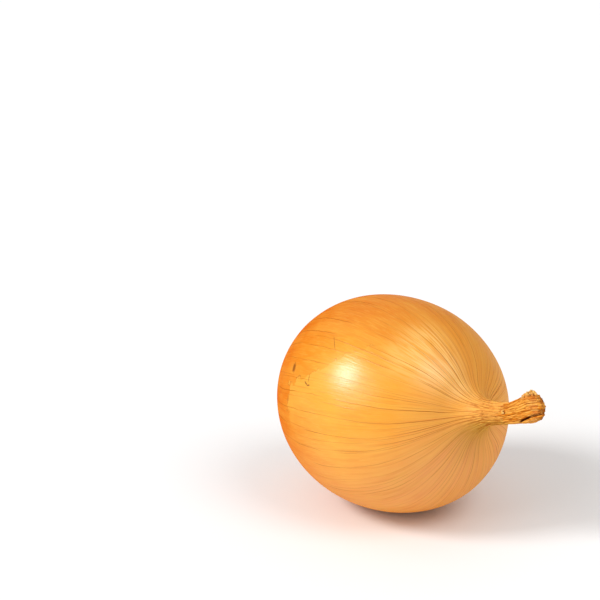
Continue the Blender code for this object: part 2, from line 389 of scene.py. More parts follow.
class Growth:
    """Collects many thin shapes into one mesh, each with a tone and a place along it from 0 to 1."""

    def __init__(self):
        self.points = []
        self.faces = []
        self.tones = []
        self.places = []

    def loft(self, rings, tone):
        """A closed solid through rings of corners, each ring with the same number of them."""
        first = len(self.points)
        count = len(rings[0])
        for row, corners in enumerate(rings):
            self.points.extend(corners)
            self.tones.extend([tone] * count)
            self.places.extend([row / (len(rings) - 1)] * count)
        for row in range(len(rings) - 1):
            low = first + row * count
            for i in range(count):
                j = (i + 1) % count
                self.faces.append((low + i, low + j, low + count + j, low + count + i))
        self.faces.append(tuple(first + i for i in reversed(range(count))))
        self.faces.append(tuple(first + (len(rings) - 1) * count + i for i in range(count)))

    def sheet(self, grid, thickness, tone):
        """A thin sheet over a grid of points, each given with the direction away from the sheet."""
        rings = []
        for row in grid:
            upper = [point + away * (thickness / 2) for point, away in row]
            lower = [point - away * (thickness / 2) for point, away in reversed(row)]
            rings.append(upper + lower)
        self.loft(rings, tone)

    def make(self, name):
        """The piece, with its tones and places stored for its material."""
        mesh = bpy.data.meshes.new(name)
        mesh.from_pydata([tuple(point) for point in self.points], [], self.faces)
        set_attribute(mesh, "tone", "FLOAT", self.tones)
        set_attribute(mesh, "share", "FLOAT", self.places)
        close_mesh(mesh)
        return add_object(name, mesh)


# Narrow leaf ends round the fan
LEAF_SEED = 21
LEAF_ENDS = 46
LEAF_STRAY = 0.35
LEAF_START = (0.55, 0.85)
LEAF_OVER = (0.0002, 0.0013)
LEAF_LIFT = (0.0, 0.00008)
LEAF_HALF_WIDTH = (0.00018, 0.00036)
LEAF_BEND = (-0.55, 0.05)
LEAF_STEPS = 9
LEAF_THICKNESS = 0.00014
LEAF_TURN = 0.72  # share of its length after which a leaf end leaves the fan's face
LEAF_RISE = 4.0
LEAF_TAPER = 0.55
LEAF_WIDEN = (0.3, 3.0)
LEAF_SIDES = (-1.0, 0.0, 1.0)

# Leaves inside the fan: place across it, and how far each reaches past its end
INNER_SEED = 14
INNER_LEAVES = ((-0.00055, -0.0002), (0.00005, 0.0001), (0.0006, -0.0002))
INNER_WIDTH = 0.93
INNER_START = 0.0730
INNER_RAGGED = 0.00040
INNER_WAVE = 0.00022
INNER_RIPPLES = ((1.0, 9.0, 0.0), (0.6, 23.0, 2.0))
INNER_COLUMNS = 48
INNER_STEPS = 7

# Torn scraps of papery skin: place, angle, length, width, curl and how far it stands off
SCRAPS = (
    (0.0712, 2.0, 0.0040, 0.0032, 0.15, 0.00022),
    (0.0736, 6.0, 0.0042, 0.0034, 0.10, 0.00020),
    (0.0760, 4.0, 0.0030, 0.0028, 0.20, 0.00012),
    (0.0730, 20.0, 0.0030, 0.0020, 0.45, 0.00010),
    (0.0704, 26.0, 0.0026, 0.0014, 0.50, 0.00010),
    (0.0728, -14.0, 0.0036, 0.0024, 0.90, 0.00020),
    (0.0624, 70.0, 0.0024, 0.0020, 1.10, -0.00010),
    (0.0645, 240.0, 0.0058, 0.0034, 0.50, 0.00010),
    (0.0610, 285.0, 0.0050, 0.0028, 0.60, 0.00010),
)
SCRAP_SEED = 17
SCRAP_THICKNESS = 0.00010
SCRAP_CRINKLE = 0.00016
SCRAP_RIPPLES = ((1.0, 5.0, 4.0), (0.7, 11.0, -7.0))
SCRAP_STARTS = 4
SCRAP_CALM = 3.0
SCRAP_COLUMNS = 13
SCRAP_STEPS = 18
SCRAP_EDGE = (0.75, 1.1)
SCRAP_TAPER = 0.6
SCRAP_DROOP = 0.35
SCRAP_BEHIND = 0.4
SCRAP_SLOPE = 0.10

# The rootlets, finer and more of them than in the part
ROOTLET_SEED = 11
ROOTLETS = 78
ROOTLET_FIRST = 0.7
ROOTLET_SWERVE = 0.2
ROOTLET_SIDES = 6
ROOTLET_STEPS = 8
ROOTLET_RADIUS = (0.00022, 0.00042)
ROOTLET_TIP = 0.35
ROOTLET_UNEVEN = 0.15
ROOTLET_LENGTH = (0.0035, 0.0072)
ROOTLET_SUNK = 0.0008
ROOTLET_SPREAD = 0.90
ROOTLET_SPLAY = (0.20, 0.85)
ROOTLET_BEND = (0.10, 0.55)
ROOTLET_STRAY = 1.4
ROOTLET_KINK = 0.00055
ROOTLET_KINKS = (7, 5)

# The crust of the root plate
CRUST_SEED = 23
CRUST_COLUMNS = 72
CRUST_ROWS = 12
CRUST_RISE = 0.0003
CRUST_RIM = 8
CRUST_ROUGH = 0.00022
CRUST_CALM = 4
CRUST_EYE = 0.02
CRUST_TONE = 0.2

# The torn skin that stands round the root plate
COLLAR_SEED = 31
COLLAR_FLAKES = 34
COLLAR_STRAY = 0.4
COLLAR_PLACE = -0.0405
COLLAR_RADIUS = 0.0087
COLLAR_LENGTH = (0.0010, 0.0026)
COLLAR_LEAN = (0.0, 0.6)
COLLAR_HALF_WIDTH = (0.0005, 0.0010)
COLLAR_STEPS = 4
COLLAR_TAPER = 0.8
COLLAR_BEHIND = 0.35
COLLAR_TONE = 0.5

NECK_PROBE = 0.02  # spacing of the points that give the neck's directions


def outward(theta):
    """The direction away from the onion's axis at an angle round it."""
    return Vector(math.cos(theta) * RISE + math.sin(theta) * SIDE)


def on_axis(z, shift):
    """The middle of the onion's section at z."""
    return Vector(z * AXIS + float(centre_rise(z)) * RISE + shift)


def ripples(x, t, parts, starts):
    """A sum of waves on a sheet, each with its weight and its turn across and along the sheet."""
    waved = zip(parts, starts)
    return sum(weight * math.sin(across * x + along * t + start) for (weight, across, along), start in waved)


def neck_spot(theta, share, shift):
    """A point of the neck's surface, with the directions across, along and away from it."""
    angles = np.array((theta - NECK_PROBE, theta, theta + NECK_PROBE))
    shares = (share - NECK_PROBE, share, share + NECK_PROBE)
    before, here, after = (neck_ring(angles, near, 1.0)[0] for near in shares)
    across = Vector(here[2] - here[0]).normalized()
    along = Vector(after[1] - before[1]).normalized()
    away = across.cross(along).normalized()
    if away.dot(outward(theta)) < 0:
        away = -away
    return Vector(here[1] + shift), across, along, away


def leaf_ends(shift):
    """Narrow dried leaf ends on the fan, some of them a little longer than the fan itself."""
    draw = random.Random(LEAF_SEED)
    growth = Growth()
    for index in range(LEAF_ENDS):
        theta = FULL_TURN * (index + draw.uniform(-LEAF_STRAY, LEAF_STRAY)) / LEAF_ENDS
        start = draw.uniform(*LEAF_START)
        over = draw.uniform(*LEAF_OVER)
        lift = draw.uniform(*LEAF_LIFT)
        half = draw.uniform(*LEAF_HALF_WIDTH)
        bend = draw.uniform(*LEAF_BEND)
        grid = []
        for step in range(LEAF_STEPS + 1):
            t = step / LEAF_STEPS
            share = start + (FAN_EDGE - start) * min(1.0, t / LEAF_TURN)
            point, across, along, away = neck_spot(theta, share, shift)
            beyond = max(0.0, t - LEAF_TURN) / (1.0 - LEAF_TURN)
            stand = lift * min(1.0, LEAF_RISE * t) + bend * over * beyond**2
            middle = point + along * (over * beyond) + away * stand
            width = half * (1.0 - LEAF_TAPER * beyond**2) * min(1.0, LEAF_WIDEN[0] + LEAF_WIDEN[1] * t)
            grid.append([(middle + across * (width * x), away) for x in LEAF_SIDES])
        growth.sheet(grid, LEAF_THICKNESS, draw.random())
    return growth


def inner_leaves(growth, shift):
    """The ragged ends of the leaves inside the fan, seen where its two faces meet."""
    noise = np.random.default_rng(INNER_SEED)
    rise, side = Vector(RISE), Vector(SIDE)
    for place, reach in INNER_LEAVES:
        ragged = noise.uniform(0.0, 1.0, INNER_COLUMNS + 1) ** 2
        starts = noise.uniform(0.0, FULL_TURN, len(INNER_RIPPLES))
        grid = []
        for step in range(INNER_STEPS + 1):
            t = step / INNER_STEPS
            row = []
            for i in range(INNER_COLUMNS + 1):
                x = (2.0 * i / INNER_COLUMNS - 1.0) * INNER_WIDTH
                end = FAN_START + FAN_LENGTH * math.sqrt(1.0 - x * x) + reach + INNER_RAGGED * ragged[i]
                z = INNER_START + (end - INNER_START) * t
                aside = place + INNER_WAVE * ripples(x, t, INNER_RIPPLES, starts) * t
                row.append((on_axis(z, shift) + rise * (x * FAN_HALF_HEIGHT) + side * aside, side))
            grid.append(row)
        growth.sheet(grid, LEAF_THICKNESS, noise.random())


def scraps(shift):
    """Torn scraps of papery skin that curl off the neck."""
    growth = Growth()
    noise = np.random.default_rng(SCRAP_SEED)
    for place, degrees, length, width, curl, stand in SCRAPS:
        theta = math.radians(degrees)
        share = (place - THROAT) / (float(fan_end(np.array(theta))) - THROAT)
        point, across, along, away = neck_spot(theta, share, shift)
        starts = noise.uniform(0.0, FULL_TURN, SCRAP_STARTS)
        edges = noise.uniform(*SCRAP_EDGE, (SCRAP_STEPS + 1, 2))
        middle = point - along * (SCRAP_BEHIND * length) + away * stand
        grid = []
        for step in range(SCRAP_STEPS + 1):
            t = step / SCRAP_STEPS
            turn = curl * t * t
            up = (away * math.cos(turn) - along * math.sin(turn)).normalized()
            taper = 1.0 - SCRAP_TAPER * t * t
            row = []
            for i in range(SCRAP_COLUMNS):
                x = 2.0 * i / (SCRAP_COLUMNS - 1) - 1.0
                edge = edges[step][0] if x < 0 else edges[step][1]
                crinkle = ripples(x, t, SCRAP_RIPPLES, starts) * SCRAP_CRINKLE * min(1.0, SCRAP_CALM * t)
                droop = SCRAP_DROOP * width * x * x * (1.0 - t)
                spot = middle + across * (x * edge * taper * width / 2) + up * (crinkle - droop)
                row.append((spot, up))
            grid.append(row)
            forward = along * math.cos(turn) + away * (math.sin(turn) + SCRAP_SLOPE)
            middle = middle + forward * (length / SCRAP_STEPS)
        growth.sheet(grid, SCRAP_THICKNESS, noise.random())
    return growth


def rootlets(shift):
    """Thin dried rootlets that splay out of the root plate."""
    draw = random.Random(ROOTLET_SEED)
    growth = Growth()
    for index in range(ROOTLETS):
        share = ROOTLET_SPREAD * math.sqrt((index + ROOTLET_FIRST) / ROOTLETS)
        away = outward(index * GOLDEN_ANGLE + draw.uniform(-ROOTLET_SWERVE, ROOTLET_SWERVE))
        start = on_axis(PLATE_END + PLATE_CROWN * share**2, shift) + away * (share * PLATE_RADIUS)
        run = (away * (ROOTLET_SPLAY[0] + ROOTLET_SPLAY[1] * share) - Vector(AXIS)).normalized()
        stray = Vector([draw.uniform(-1, 1) for _ in range(3)]).normalized()
        bend = (away + ROOTLET_STRAY * stray) * draw.uniform(*ROOTLET_BEND)
        length = draw.uniform(*ROOTLET_LENGTH)
        thick = draw.uniform(*ROOTLET_RADIUS)
        across = run.orthogonal().normalized()
        other = run.cross(across)
        start_turn = draw.uniform(0, FULL_TURN)
        rings = []
        for step in range(ROOTLET_STEPS + 1):
            t = step / ROOTLET_STEPS
            first, second = (kinks * t + start_turn for kinks in ROOTLET_KINKS)
            kink = across * math.sin(first) + other * math.cos(second)
            middle = start + run * (t * length - ROOTLET_SUNK * (1 - t)) + bend * (t * t * length)
            middle = middle + kink * (ROOTLET_KINK * t)
            uneven = 1.0 + ROOTLET_UNEVEN * draw.uniform(-1, 1)
            radius = thick * (1.0 - (1.0 - ROOTLET_TIP) * t) * uneven
            corners = []
            for side in range(ROOTLET_SIDES):
                angle = FULL_TURN * side / ROOTLET_SIDES
                corners.append(middle + (across * math.cos(angle) + other * math.sin(angle)) * radius)
            rings.append(corners)
        growth.loft(rings, draw.random())
    return growth


def root_crust(shift):
    """The rough crust of the root plate, with the torn edge of the skin round it."""
    growth = Growth()
    noise = np.random.default_rng(CRUST_SEED)
    bumps = noise.uniform(-1.0, 1.0, (CRUST_ROWS + 1, CRUST_COLUMNS))
    rings = []
    for row in range(CRUST_ROWS, -1, -1):
        share = max(row / CRUST_ROWS, CRUST_EYE)
        rough = CRUST_ROUGH * min(1.0, CRUST_CALM * share) * (share < 1)
        corners = []
        for i in range(CRUST_COLUMNS):
            theta = -FULL_TURN * i / CRUST_COLUMNS
            drop = CRUST_RISE * (1.0 - share**CRUST_RIM) + rough * bumps[row][i]
            z = PLATE_END + PLATE_CROWN * share**2 - drop
            corners.append(on_axis(z, shift) + outward(theta) * (share * PLATE_RADIUS))
        rings.append(corners)
    growth.loft(rings, CRUST_TONE)
    collar(growth, shift)
    return growth


def collar(growth, shift):
    """Small torn flakes of skin that stand round the root plate."""
    draw = random.Random(COLLAR_SEED)
    for index in range(COLLAR_FLAKES):
        theta = FULL_TURN * (index + draw.uniform(-COLLAR_STRAY, COLLAR_STRAY)) / COLLAR_FLAKES
        away = outward(theta)
        across = Vector(AXIS).cross(away)
        length = draw.uniform(*COLLAR_LENGTH)
        lean = draw.uniform(*COLLAR_LEAN)
        half = draw.uniform(*COLLAR_HALF_WIDTH)
        base = on_axis(COLLAR_PLACE, shift) + away * COLLAR_RADIUS
        run = (away * lean - Vector(AXIS)).normalized()
        up = (away + Vector(AXIS) * lean).normalized()
        grid = []
        for step in range(COLLAR_STEPS + 1):
            t = step / COLLAR_STEPS
            width = half * (1.0 - COLLAR_TAPER * t * t)
            middle = base + run * (length * (t - COLLAR_BEHIND))
            grid.append([(middle + across * (width * x), up) for x in LEAF_SIDES])
        growth.sheet(grid, SCRAP_THICKNESS, COLLAR_TONE + COLLAR_TONE * draw.random())


# Colours as they are seen in plain white light, from 0 to 255
DEEP_ORANGE = (204, 98, 6)
ORANGE = (218, 130, 18)
GOLD = (234, 158, 32)
TAN = (234, 154, 40)
PEACH = (234, 164, 82)
BOUNCE_SALMON = (238, 156, 88)
ROOT_BROWN = (160, 88, 36)
PATCH_YELLOW = (236, 178, 70)
SHOULDER_HIGHLIGHT_PALE = (246, 196, 112)
VEIN_BROWN = (152, 70, 2)
MARK_BROWN = (120, 62, 16)
GREEN_TAN = (182, 136, 44)
FIBRE_ORANGE = (214, 124, 26)
FIBRE_PALE = (240, 178, 82)
FIBRE_BROWN = (164, 84, 16)
GROOVE_BROWN = (112, 52, 10)
CLEFT_SHADE_BROWN = (96, 38, 6)
PAPER_YELLOW = (244, 196, 108)
ROOTLET_TAN = (212, 176, 122)
ROOTLET_BROWN = (140, 98, 56)


def linear(shown):
    """The shader's colour for a colour as it is seen."""
    parts = [((part / 255 + 0.055) / 1.055) ** 2.4 if part > 10 else part / 255 / 12.92 for part in shown]
    return (*parts, 1.0)


class Look:
    """A material, with short calls that add its nodes."""

    def __init__(self, name):
        self.material = bpy.data.materials.new(name)
        self.material.use_nodes = True
        self.tree = self.material.node_tree
        self.shader = self.tree.nodes["Principled BSDF"]

    def put(self, socket, value):
        """Link a socket to another, or set its number or colour."""
        if isinstance(value, bpy.types.NodeSocket):
            self.tree.links.new(value, socket)
        else:
            socket.default_value = value

    def put_all(self, node, values):
        """Set or link a node's inputs, named with underscores for spaces."""
        for name, value in values.items():
            self.put(node.inputs[name.replace("_", " ")], value)

    def surface(self, **values):
        """Set or link inputs of the shader."""
        self.put_all(self.shader, values)

    def node(self, kind, settings=None, **values):
        """Add a node, with its settings and inputs."""
        made = self.tree.nodes.new(kind)
        for name, value in (settings or {}).items():
            setattr(made, name, value)
        self.put_all(made, values)
        return made

    def math(self, operation, *values):
        made = self.node("ShaderNodeMath", {"operation": operation})
        for socket, value in zip(made.inputs, values):
            self.put(socket, value)
        return made.outputs[0]

    def add(self, *values):
        total = values[0]
        for value in values[1:]:
            total = self.math("ADD", total, value)
        return total

    def times(self, *values):
        total = values[0]
        for value in values[1:]:
            total = self.math("MULTIPLY", total, value)
        return total

    def ease(self, value, start, end, low=0.0, high=1.0):
        """Go smoothly from low to high while the value goes from start to end."""
        made = self.node(
            "ShaderNodeMapRange", {"interpolation_type": "SMOOTHSTEP"},
            Value=value, From_Min=start, From_Max=end, To_Min=low, To_Max=high)
        return made.outputs[0]

    def within(self, *ranges):
        """The product of eases, each of a value over its range."""
        return self.times(*(self.ease(value, *span) for value, span in ranges))

    def attribute(self, name):
        return self.node("ShaderNodeAttribute", {"attribute_name": name}).outputs["Fac"]

    def vector(self, x, y, z):
        return self.node("ShaderNodeCombineXYZ", X=x, Y=y, Z=z).outputs[0]

    def noise(self, vector, scale=1.0, detail=2.0, roughness=0.5):
        made = self.node("ShaderNodeTexNoise", Vector=vector, Scale=scale, Detail=detail, Roughness=roughness)
        return made.outputs["Fac"]

    def random(self, value):
        return self.node("ShaderNodeTexWhiteNoise", {"noise_dimensions": "1D"}, W=value).outputs["Value"]

    def mix(self, share, first, second):
        """A colour between two, with a share of the second."""
        made = self.node("ShaderNodeMix", {"data_type": "RGBA"})
        for place, value in ((0, share), (6, first), (7, second)):
            self.put(made.inputs[place], value)
        return made.outputs[2]

    def tint(self, colour, share, shown):
        """A colour with a share of another mixed in, which is given as it is seen."""
        return self.mix(share, colour, linear(shown))

    def ramp(self, value, stops):
        """A colour that changes along stops of place and colour."""
        made = self.node("ShaderNodeValToRGB", Fac=value)
        band = made.color_ramp
        while len(band.elements) < len(stops):
            band.elements.new(0.5)
        for element, (place, shown) in zip(band.elements, stops):
            element.position = place
            element.color = linear(shown)
        return made.outputs["Color"]

    def bump(self, height):
        """Relief, with its height in millimetres."""
        normal = self.node("ShaderNodeBump", Height=height, Strength=1.0, Distance=MM).outputs[0]
        self.surface(Normal=normal, Coat_Normal=normal)


# The skin's colours from root to neck, at places in millimetres along the axis. The deep orange over the root
# half is partly the skin's own deeper colour and partly painted shade, darker as on a side that less light
# reaches.
SKIN_SPAN = (-43.0, 60.0)
SKIN_BANDS = (
    (-43.0, ROOT_BROWN), (-38.0, DEEP_ORANGE), (-19.0, DEEP_ORANGE), (-5.0, ORANGE), (12.0, GOLD),
    (32.0, TAN), (50.0, PEACH))

# Noise round the onion: cells across, cells along, detail, start and roughness
WIDE_STREAKS = (5.0, 0.05, 3.0, 3.0, 0.6)
MEDIUM_STREAKS = (24.0, 0.06, 3.0, 11.0, 0.6)
FINE_STREAKS = (80.0, 0.22, 2.0, 29.0, 0.6)
SHOULDER_HIGHLIGHT_NOISE = (42.0, 0.10, 3.0, 53.0, 0.6)
NECK_STRANDS = (9.0, 0.30, 3.0, 41.0, 0.6)

# Ranges for ease: where a look starts and ends, and its strengths there if not 0 and 1. Places along the
# onion are in mm, near and far are theta in radians, and height is its cosine, 1 on top.
# Painted shade: the top of the bulb is tinted deep orange, darker as where the light only grazes it.
TOP_SHADE_HEIGHT = (0.60, 1.0, 0.0, 0.60)
TOP_SHADE_ALONG = (34.0, 16.0)
CREST_NEAR = (0.45, 0.05, 0.0, 0.50)
CREST_FAR = (-1.7, -0.9)
CREST_ROOTWARD = (10.0, 26.0)
CREST_NECKWARD = (48.0, 36.0)
# Painted light: the underside is tinted paler salmon, as if lit by light thrown up from the floor.
UNDERSIDE_BOUNCE_HEIGHT = (0.1, -0.8, 0.0, 0.65)
WIDE_YELLOW = (0.35, 0.7, 0.0, 0.25)
MEDIUM_ORANGE = (0.42, 0.72, 0.0, 0.22)
FINE_YELLOW = (0.45, 0.75, 0.0, 0.30)
FINE_ALONG = (-26.0, 4.0, 0.35, 1.0)
# Painted highlight: pale streaks on the near upper shoulder stand for the sheen of a light.
HIGHLIGHT_ROOTWARD = (20.0, 32.0)
HIGHLIGHT_NECKWARD = (52.0, 42.0)
HIGHLIGHT_NEAR = (1.0, 0.5)
HIGHLIGHT_FAR = (-0.25, 0.15)
HIGHLIGHT_STREAKS = (0.38, 0.60, 0.10, 0.80)

# Veins: how many round the onion, start, swerve, half width in mm, and least strength
MAIN_VEINS = (40, 5.0, 0.8, 0.15, 0.40)
SIDE_VEINS = (73, 17.0, 1.0, 0.13, 0.0)
CLOSE_VEINS = (101, 31.0, 1.2, 0.11, 0.0)
MAIN_ROOTWARD = (0.0, 11.0, 0.90, 0.52)
MAIN_NECKWARD = (27.0, 40.0, 1.0, 1.7)
SIDE_STRENGTH = 0.60
CLOSE_ALONG = (5.0, 40.0, 0.0, 0.75)
VEIN_HEIGHT = (0.2, -0.6, 1.0, 0.8)
VEIN_SWERVE = (2.4, 0.022, 2.0)
VEIN_KINK = 0.0022  # short swerves, as a share of a turn round the onion
VEIN_KINK_GRAIN = (9.0, 0.4)
VEIN_GIRTH = 1.2  # share of the girth that all half widths may fill where veins draw close
VEIN_EDGE = (0.45, 1.0, 1.0, 0.0)
VEIN_BREAK_GRAIN = (97.0, 0.07)
VEIN_BREAKS = (0.30, 0.62)

# Marks on the skin: place in mm, angle in degrees, half length, half width, turn and strength
MARKS = (
    (-10.6, 59.6, 2.3, 1.35, 78.0, 0.80),
    (-0.9, 66.2, 1.3, 0.42, 34.0, 0.80),
    (0.5, 67.0, 1.1, 0.38, -14.0, 0.80),
    (0.1, 63.4, 1.8, 0.28, 84.0, 0.60),
    (5.6, 42.1, 4.6, 0.22, 51.0, 0.60),
    (-14.0, -146.0, 1.4, 0.50, 70.0, 0.80),
    (22.0, -68.0, 2.4, 0.20, 35.0, 0.50),
)
MARK_GRAIN = 40.0
MARK_SCALE = 0.9
MARK_RAGGED = 0.7
MARK_EDGE = (0.7, 1.4, 1.0, 0.0)

# The lighter patch of skin: its rootward end in mm, its upper edge in degrees along z, and its wander
PATCH_START = -11.0
PATCH_EDGE = (61.0, -0.85, -0.02)
PATCH_WANDER = 9.0
PATCH_GRAIN = (12.0, 0.3, 4.0)
PATCH_DETAIL = 3.0
PATCH_NECKWARD = (6.0, 30.0, 1.0, 0.0)
PATCH_ROUND = (1.3, 2.0, 1.0, 0.0)
PATCH_BELOW = (6.0, 18.0, 1.0, 0.15)
PATCH_INSIDE = (-0.2, 0.3)
PATCH_RIM = (0.05, 0.32, 1.0, 0.0)
PATCH_BREAKS = (0.42, 0.56)
PATCH_COVER = 0.42
PATCH_LINE = 0.50

# The neck: ranges as above, and shares of its colours
# Under the neck's base: green tan, partly the skin's own colour and partly painted shade under the neck.
GREEN_SHADE_ALONG = (38.0, 50.0)
GREEN_SHADE_HEIGHT = (0.1, -0.7)
GREEN_SHADE_SHARE = 0.75
NECK_ALONG = (42.0, 54.0)
# Painted shade and highlight on the neck: grooves between fibres painted dark, ridges painted pale; the
# strand streaks are partly the fibres' own colour and partly painted shade in sunk strands and highlights on
# raised ones.
GROOVE_SHADE = (0.60, 0.95)
RIDGE_HIGHLIGHT = (0.55, 0.15)
STRAND_DARK = (0.52, 0.60)
STRAND_LIGHT = (0.52, 0.42)
SKIN_DARK = 0.85
SKIN_LIGHT = 0.75
FIBRE_TONE = (0.1, 0.9, 0.0, 0.5)
FIBRE_DARK = 0.85
FIBRE_LIGHT = 0.8
CLEFT_SHADE = (0.15, 0.70)

# Roughness of the skin, what streaks and neck add to it, and its gloss and relief
SKIN_ROUGH = (0.40, 0.12, 0.15)
SHINE_NECKWARD = (34.0, 50.0, 0.24, 0.03)
SHINE_ROOTWARD = (-18.0, 8.0, 0.15, 1.0)
SHINE_ON_VEINS = (0.0, 1.0, 1.0, 0.25)
SKIN_BUMP = 0.05
STRAND_BUMP = -0.12


def round_noise(look, place, across, lengthwise, detail, start, roughness):
    """Noise without a seam round the onion, in cells drawn out along it."""
    cosine, sine, along = place[:3]
    spot = look.vector(
        look.math("MULTIPLY_ADD", cosine, across, start), look.times(sine, across),
        look.times(along, lengthwise))
    return look.noise(spot, detail=detail, roughness=roughness)


def mark_spots(look, place):
    """Small brown scars and cracks of the skin, from 0 to 1."""
    along, theta, girth = place[2:]
    grain = look.vector(look.times(theta, MARK_GRAIN), along, 0.0)
    ragged = look.times(look.noise(grain, scale=MARK_SCALE), MARK_RAGGED)
    found = 0.0
    for z, degrees, half_length, half_width, turn, strength in MARKS:
        cosine, sine = math.cos(math.radians(turn)), math.sin(math.radians(turn))
        lengthwise = look.add(along, -z)
        across = look.times(look.add(theta, -math.radians(degrees)), girth)
        first = look.add(
            look.times(lengthwise, cosine / half_length), look.times(across, sine / half_length))
        second = look.add(
            look.times(across, cosine / half_width), look.times(lengthwise, -sine / half_width))
        reach = look.math("SQRT", look.add(look.times(first, first), look.times(second, second)))
        spot = look.times(look.ease(look.add(reach, ragged), *MARK_EDGE), strength)
        found = look.math("MAXIMUM", found, spot)
    return found


def light_patch(look, place):
    """How far the lighter patch of skin covers a place, and how strongly its edge shows there."""
    along, theta, girth = place[2:]
    start, slope, bow = PATCH_EDGE
    edge = look.add(start, look.times(along, look.math("MULTIPLY_ADD", along, bow, slope)))
    upper = look.math("SUBTRACT", look.times(theta, 180 / math.pi), edge)
    upper = look.times(upper, girth, math.pi / 180)
    rootward = look.add(along, -PATCH_START)
    around, lengthwise, seed = PATCH_GRAIN
    grain = look.vector(look.times(theta, around), look.times(along, lengthwise), seed)
    wander = look.noise(grain, detail=PATCH_DETAIL)
    inside = look.math("MINIMUM", upper, rootward)
    inside = look.add(inside, look.times(look.add(wander, -0.5), PATCH_WANDER))
    fade = look.within((along, PATCH_NECKWARD), (theta, PATCH_ROUND), (upper, PATCH_BELOW))
    cover = look.times(look.ease(inside, *PATCH_INSIDE), fade)
    rim = look.ease(look.math("ABSOLUTE", inside), *PATCH_RIM)
    return cover, look.times(rim, fade, look.ease(wander, *PATCH_BREAKS))


def vein_lines(look, place, count, start, swerve, half_width, floor):
    """Thin lines along the skin: how dark each place is, from 0 to 1."""
    cosine, sine, along, theta, girth = place
    bend = round_noise(look, place, *VEIN_SWERVE, start, 0.5)
    bend = look.times(look.add(bend, -0.5), swerve)
    across, lengthwise = VEIN_KINK_GRAIN
    close = look.vector(
        look.times(cosine, across), look.math("MULTIPLY_ADD", sine, across, start),
        look.times(along, lengthwise))
    kink = look.times(look.add(look.noise(close), -0.5), VEIN_KINK * count)
    turn = look.add(look.times(theta, count / FULL_TURN), bend, kink)
    cell = look.math("FLOOR", look.add(turn, 0.5))
    away = look.math("ABSOLUTE", look.math("SUBTRACT", turn, cell))
    away = look.times(away, girth, FULL_TURN / count)
    width = look.math("MINIMUM", look.times(girth, VEIN_GIRTH / count), half_width)
    line = look.ease(look.math("DIVIDE", away, width), *VEIN_EDGE)
    own = look.random(look.add(look.math("FLOORED_MODULO", cell, float(count)), start))
    apart, lengthwise = VEIN_BREAK_GRAIN
    stretch = look.vector(look.times(own, apart), look.times(along, lengthwise), start)
    broken = look.ease(look.noise(stretch, detail=1.0), *VEIN_BREAKS)
    return look.times(line, look.ease(own, 0.0, 1.0, floor, 1.0), broken)


def all_veins(look, place):
    """The main veins, and the finer ones between them."""
    cosine, _, along = place[:3]
    main = vein_lines(look, place, *MAIN_VEINS)
    main = look.times(main, look.ease(along, *MAIN_ROOTWARD), look.ease(along, *MAIN_NECKWARD))
    side = look.times(vein_lines(look, place, *SIDE_VEINS), SIDE_STRENGTH)
    close = look.times(vein_lines(look, place, *CLOSE_VEINS), look.ease(along, *CLOSE_ALONG))
    veins = look.math("MAXIMUM", look.math("MAXIMUM", main, side), close)
    return look.times(veins, look.ease(cosine, *VEIN_HEIGHT))


def bulb_colour(look, place, medium):
    """The bulb's colour without its veins: bands from root to neck, under orange and yellow streaks, with
    painted shade on the top and partly over the root half, painted bounce light underneath and a painted
    highlight on the near shoulder.
    """
    cosine, _, along, theta = place[:4]
    low, high = SKIN_SPAN
    share = look.node(
        "ShaderNodeMapRange", Value=along, From_Min=low, From_Max=high, To_Min=0.0, To_Max=1.0)
    stops = [((z - low) / (high - low), shown) for z, shown in SKIN_BANDS]
    colour = look.ramp(share.outputs[0], stops)
    # Painted shade: deep orange on the top of the bulb.
    top = look.within((cosine, TOP_SHADE_HEIGHT), (along, TOP_SHADE_ALONG))
    colour = look.tint(colour, top, DEEP_ORANGE)
    crest = look.within(
        (theta, CREST_NEAR), (theta, CREST_FAR), (along, CREST_ROOTWARD), (along, CREST_NECKWARD))
    colour = look.tint(colour, crest, ORANGE)
    # Painted bounce light: paler salmon on the underside.
    colour = look.tint(colour, look.ease(cosine, *UNDERSIDE_BOUNCE_HEIGHT), BOUNCE_SALMON)
    wide = round_noise(look, place, *WIDE_STREAKS)
    fine = round_noise(look, place, *FINE_STREAKS)
    colour = look.tint(colour, look.ease(wide, *WIDE_YELLOW), PATCH_YELLOW)
    colour = look.tint(colour, look.ease(medium, *MEDIUM_ORANGE), DEEP_ORANGE)
    colour = look.tint(colour, look.within((fine, FINE_YELLOW), (along, FINE_ALONG)), PATCH_YELLOW)
    # Painted highlight: a pale streaky band on the near upper shoulder.
    pale = look.within(
        (along, HIGHLIGHT_ROOTWARD), (along, HIGHLIGHT_NECKWARD), (theta, HIGHLIGHT_NEAR), (theta, HIGHLIGHT_FAR),
        (round_noise(look, place, *SHOULDER_HIGHLIGHT_NOISE), HIGHLIGHT_STREAKS))
    return look.tint(colour, pale, SHOULDER_HIGHLIGHT_PALE), fine


